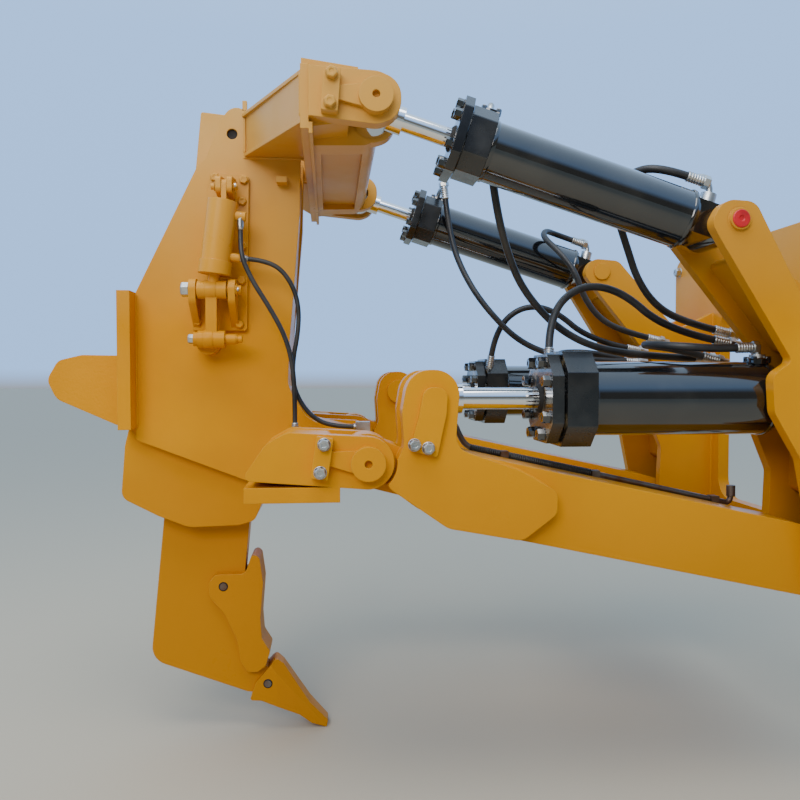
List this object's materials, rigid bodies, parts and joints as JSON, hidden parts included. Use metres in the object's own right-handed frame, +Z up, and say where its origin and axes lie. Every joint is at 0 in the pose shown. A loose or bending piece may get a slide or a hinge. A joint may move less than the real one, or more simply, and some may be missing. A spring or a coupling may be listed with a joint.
{
  "type": "single-shank parallelogram ripper, rear attachment of a bulldozer",
  "caption": "Rear single-shank ripper of a bulldozer, yellow, with black lift and tilt cylinders, lower arms, tractor brackets and hydraulic pin puller",
  "frame": {"origin": "centre of the bolt pattern in the plane of the plate that bolts to the tractor's rear case", "axes": "+X out of the mounting face, forward to the tractor; +Y to the tractor's left; +Z up"},
  "size_m": [3.4338, 1.92, 2.8332],
  "materials": {
    "black": "gloss black enamel",
    "chrome": "polished hard chrome",
    "hose": "matt black rubber",
    "steel": "bare steel with light rust",
    "yellow": "semi-gloss enamel, lightly soiled",
    "zinc": "zinc plated, matt"
  },
  "bodies": {
    "draft_frame": {"arm_pipe_right": "steel", "cross_beam": "yellow", "draft_arm_left": "yellow", "draft_arm_right": "yellow", "lift_rod_pins_left": "yellow", "lift_rod_pins_right": "yellow"},
    "mount": {"bracket_left": "yellow", "bracket_right": "yellow", "head_pins_left": "yellow", "head_pins_right": "yellow", "mount_plate": "yellow"},
    "carriage": {"carriage_frame": "yellow", "lower_clevis_left": "yellow", "lower_clevis_right": "yellow", "puller_base": "yellow", "puller_cylinder": "yellow", "puller_fittings": "zinc", "puller_hose_lower": "hose", "puller_hose_upper": "hose", "puller_lever": "yellow", "push_block": "yellow", "rear_pin_flags": "yellow", "retainers": "steel", "shank": "yellow", "shank_guard": "yellow", "shank_pin": "yellow", "shank_tip": "yellow", "tilt_rod_pins": "yellow", "top_box": "yellow"},
    "lift_barrel_left": {"lift_barrel_left": "black", "lift_fittings_left": "zinc", "lift_gland_left": "black", "lift_hose_gland_left": "hose", "lift_hose_head_left": "hose"},
    "lift_barrel_right": {"lift_barrel_right": "black", "lift_fittings_right": "zinc", "lift_gland_right": "black", "lift_hose_gland_right": "hose", "lift_hose_head_right": "hose"},
    "lift_rod_left": {"lift_rod_left": "chrome"},
    "lift_rod_right": {"lift_rod_right": "chrome"},
    "rear_pins": {"rear_pins": "steel"},
    "tilt_barrel_left": {"tilt_barrel_left": "black", "tilt_fittings_left": "zinc", "tilt_gland_left": "black", "tilt_hose_gland_left": "hose", "tilt_hose_head_left": "hose"},
    "tilt_barrel_right": {"tilt_barrel_right": "black", "tilt_fittings_right": "zinc", "tilt_gland_right": "black", "tilt_hose_gland_right": "hose", "tilt_hose_head_right": "hose"},
    "tilt_pin_left": {"tilt_head_pin_left": "yellow"},
    "tilt_pin_right": {"tilt_head_pin_right": "yellow"},
    "tilt_rod_left": {"tilt_rod_left": "chrome"},
    "tilt_rod_right": {"tilt_rod_right": "chrome"}
  },
  "joints": [
    {"name": "lift", "type": "hinge", "parent": "mount", "child": "draft_frame", "pos_m": [-0.25, 0, -0.6], "axis": [0, 1, 0], "range_deg": [-22, 18]},
    {"name": "level", "type": "hinge", "parent": "draft_frame", "child": "rear_pins", "pos_m": [-2.065, 0, -0.165], "axis": [0, 1, 0], "range_deg": [-17.06, 20.74]},
    {"name": "tilt", "type": "hinge", "parent": "rear_pins", "child": "carriage", "pos_m": [-2.065, 0, -0.165], "axis": [0, 1, 0], "range_deg": [-10, 5]},
    {"name": "lift_barrel_right", "type": "hinge", "parent": "mount", "child": "lift_barrel_right", "pos_m": [-0.33, -0.7, 0.06], "axis": [0, 1, 0], "range_deg": [-23.49, 19.31]},
    {"name": "lift_rod_right", "type": "slide", "parent": "lift_barrel_right", "child": "lift_rod_right", "axis": [-1, 0, 0.0013], "range_m": [-0.2088, 0.2545]},
    {"name": "tilt_pin_right", "type": "hinge", "parent": "mount", "child": "tilt_pin_right", "pos_m": [-0.705, -0.7, 0.722], "axis": [0, 1, 0], "range_deg": [-29.32, 24.08]},
    {"name": "tilt_barrel_right", "type": "hinge", "parent": "tilt_pin_right", "child": "tilt_barrel_right", "pos_m": [-0.705, -0.7, 0.722], "axis": [0, 1, 0], "range_deg": [-2.5, 1.5]},
    {"name": "tilt_rod_right", "type": "slide", "parent": "tilt_barrel_right", "child": "tilt_rod_right", "axis": [-0.9546, 0, 0.2979], "range_m": [-0.1086, 0.2142]},
    {"name": "lift_barrel_left", "type": "hinge", "parent": "mount", "child": "lift_barrel_left", "pos_m": [-0.33, 0.7, 0.06], "axis": [0, 1, 0], "range_deg": [-23.49, 19.31]},
    {"name": "lift_rod_left", "type": "slide", "parent": "lift_barrel_left", "child": "lift_rod_left", "axis": [-1, 0, 0.0013], "range_m": [-0.2088, 0.2545]},
    {"name": "tilt_pin_left", "type": "hinge", "parent": "mount", "child": "tilt_pin_left", "pos_m": [-0.705, 0.7, 0.722], "axis": [0, 1, 0], "range_deg": [-29.32, 24.08]},
    {"name": "tilt_barrel_left", "type": "hinge", "parent": "tilt_pin_left", "child": "tilt_barrel_left", "pos_m": [-0.705, 0.7, 0.722], "axis": [0, 1, 0], "range_deg": [-2.5, 1.5]},
    {"name": "tilt_rod_left", "type": "slide", "parent": "tilt_barrel_left", "child": "tilt_rod_left", "axis": [-0.9546, 0, 0.2979], "range_m": [-0.1086, 0.2142]}
  ],
  "couplings": [
    {"joint": "level", "follows": "lift", "ratio": -0.92},
    {"joint": "lift_barrel_right", "follows": "lift", "ratio": 1.045},
    {"joint": "lift_rod_right", "follows": "lift", "m_per_rad": -0.655},
    {"joint": "tilt_pin_right", "follows": "lift", "ratio": 1.31},
    {"joint": "tilt_barrel_right", "follows": "tilt", "ratio": 0.2},
    {"joint": "tilt_rod_right", "follows": "tilt", "m_per_rad": -1.21},
    {"joint": "lift_barrel_left", "follows": "lift", "ratio": 1.045},
    {"joint": "lift_rod_left", "follows": "lift", "m_per_rad": -0.655},
    {"joint": "tilt_pin_left", "follows": "lift", "ratio": 1.31},
    {"joint": "tilt_barrel_left", "follows": "tilt", "ratio": 0.2},
    {"joint": "tilt_rod_left", "follows": "tilt", "m_per_rad": -1.21}
  ]
}
